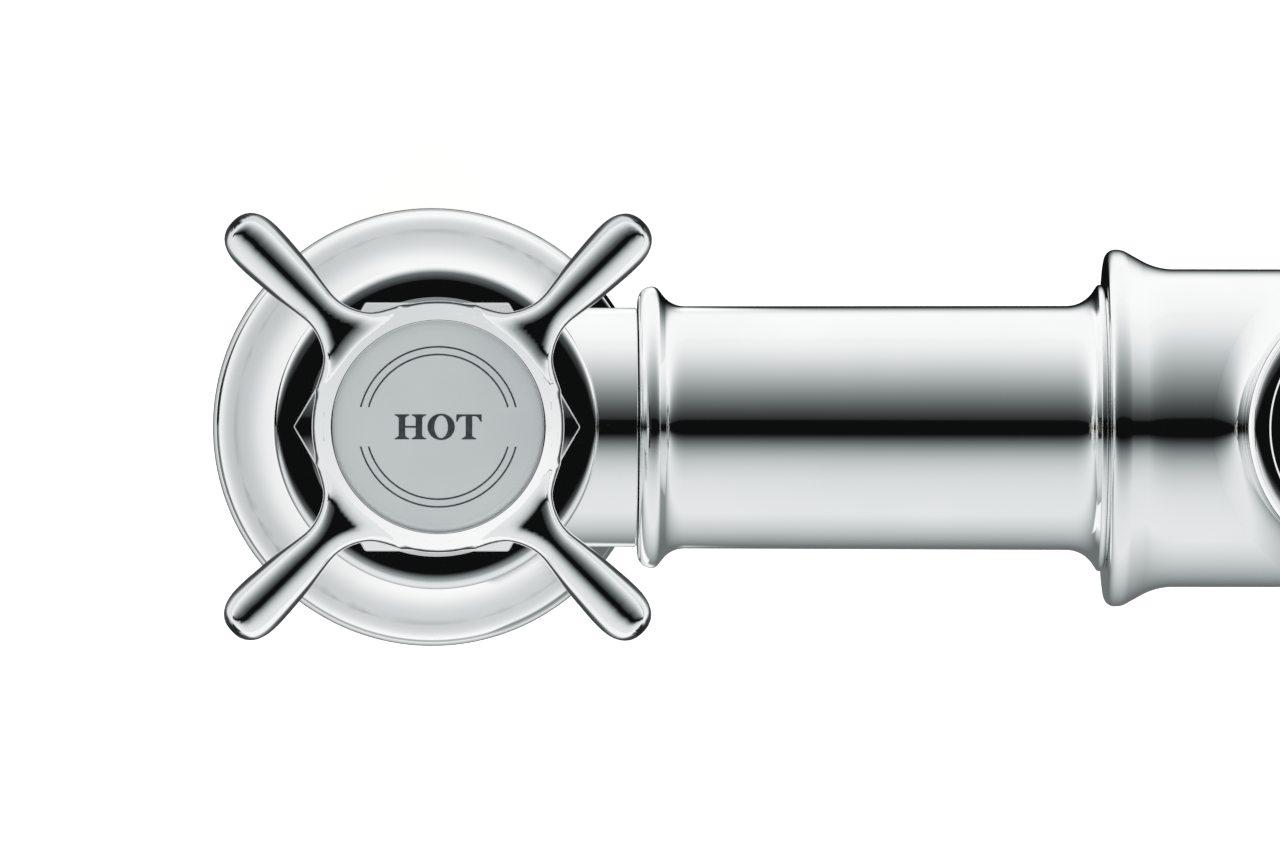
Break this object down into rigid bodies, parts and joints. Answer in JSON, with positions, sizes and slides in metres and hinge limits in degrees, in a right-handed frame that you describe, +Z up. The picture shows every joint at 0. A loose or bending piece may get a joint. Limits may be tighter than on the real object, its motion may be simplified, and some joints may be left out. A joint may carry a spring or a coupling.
{
  "type": "two-handle basin mixer",
  "caption": "Bridge basin mixer: two pillar valves with cross handles, bridge tubes into a central body, and a swivelling swan-neck spout.",
  "frame": {"origin": "on the deck's top face, halfway between the two pillars' axes, under the spout's riser", "axes": "+X towards the cold pillar, -Y towards the user, the way the spout points at rest, +Z up"},
  "size_m": [0.2474, 0.1506, 0.2855],
  "materials": {
    "chrome": "polished chrome plate",
    "brass": "machined brass",
    "steel": "plain stainless steel",
    "rubber": "matt rubber",
    "ceramic": "lapped alumina ceramic, opaque",
    "porcelain": "glazed porcelain, opaque",
    "nylon": "white nylon"
  },
  "bodies": {
    "mixer_body": {"hot_base_gasket": "rubber", "hot_base_flange": "chrome", "hot_pillar": "chrome", "hot_shank": "brass", "hot_fixing_gasket": "rubber", "hot_fixing_washer": "steel", "hot_backnut": "brass", "hot_bonnet": "chrome", "hot_cartridge_body": "brass", "hot_cartridge_o_ring": "rubber", "hot_seat_seal": "rubber", "hot_fixed_disc": "ceramic", "hot_bridge_tube": "chrome", "hot_bridge_o_rings": "rubber", "cold_base_gasket": "rubber", "cold_base_flange": "chrome", "cold_pillar": "chrome", "cold_shank": "brass", "cold_fixing_gasket": "rubber", "cold_fixing_washer": "steel", "cold_backnut": "brass", "cold_bonnet": "chrome", "cold_cartridge_body": "brass", "cold_cartridge_o_ring": "rubber", "cold_seat_seal": "rubber", "cold_fixed_disc": "ceramic", "cold_bridge_tube": "chrome", "cold_bridge_o_rings": "rubber", "centre_body": "chrome", "slip_washer": "nylon", "spout_grub_screw": "steel"},
    "hot_valve": {"hot_handle": "chrome", "hot_handle_screw": "steel", "hot_index_disc": "porcelain", "hot_spindle": "brass", "hot_spindle_o_ring": "rubber", "hot_spindle_clip": "steel", "hot_moving_disc": "ceramic"},
    "cold_valve": {"cold_handle": "chrome", "cold_handle_screw": "steel", "cold_index_disc": "porcelain", "cold_spindle": "brass", "cold_spindle_o_ring": "rubber", "cold_spindle_clip": "steel", "cold_moving_disc": "ceramic"},
    "swivel_spout": {"spout": "chrome", "spout_o_rings": "rubber", "aerator_housing": "chrome", "aerator_insert": "nylon", "aerator_seal": "rubber"}
  },
  "joints": [
    {"name": "hot_handle_turn", "type": "hinge", "parent": "mixer_body", "child": "hot_valve", "pos_m": [-0.1, 0, 0.08], "axis": [0, 0, 1], "range_deg": [0, 180]},
    {"name": "cold_handle_turn", "type": "hinge", "parent": "mixer_body", "child": "cold_valve", "pos_m": [0.1, 0, 0.08], "axis": [0, 0, 1], "range_deg": [-180, 0]},
    {"name": "spout_swivel", "type": "hinge", "parent": "mixer_body", "child": "swivel_spout", "pos_m": [0, 0, 0.073], "axis": [0, 0, 1], "range_deg": [-60, 60]}
  ]
}
